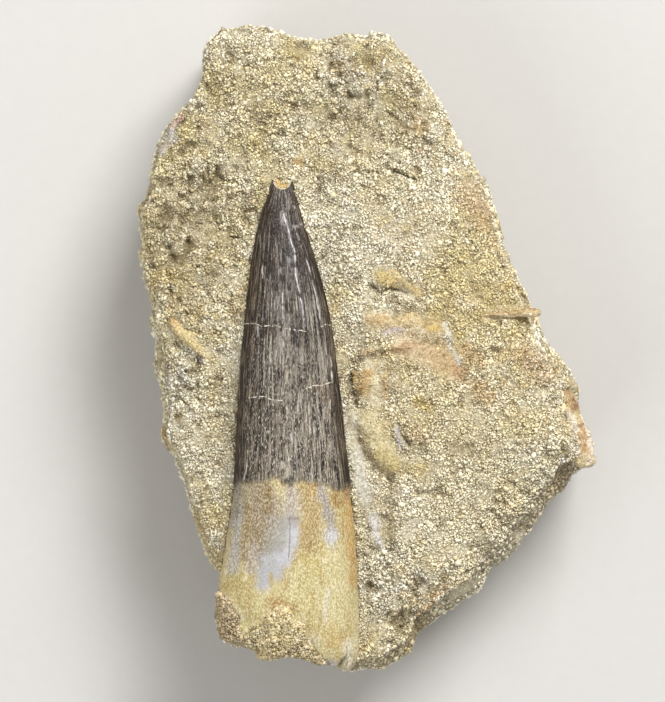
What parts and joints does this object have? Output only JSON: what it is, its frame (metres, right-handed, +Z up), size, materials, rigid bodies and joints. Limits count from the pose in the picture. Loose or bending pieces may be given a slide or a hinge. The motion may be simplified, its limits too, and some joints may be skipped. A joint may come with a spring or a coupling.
{
  "type": "fossil plesiosaur tooth",
  "caption": "Curved, ridged fossil tooth with crown and root, half bedded in a rough block of coarse sandstone with small scraps of bone, resting on a flat underside.",
  "frame": {"origin": "under the middle of the block's box, on the surface that it rests on", "axes": "+Z up out of the face that shows the tooth, +Y from the root towards the tip of the tooth, +X to the right in the picture"},
  "size_m": [0.0498, 0.0702, 0.0264],
  "materials": {
    "sandstone": "rough, loose grained",
    "enamel": "satin, finely ridged",
    "bone": "dull, chalky"
  },
  "bodies": {
    "root": {"matrix": "sandstone", "tooth": "enamel", "root_fill": "sandstone", "bone_sliver": "bone", "corner_bone": "bone", "bone_knob": "bone", "bone_splinter": "bone", "bone_flake": "bone", "bone_chip": "bone", "bone_scrap": "bone"}
  },
  "joints": []
}
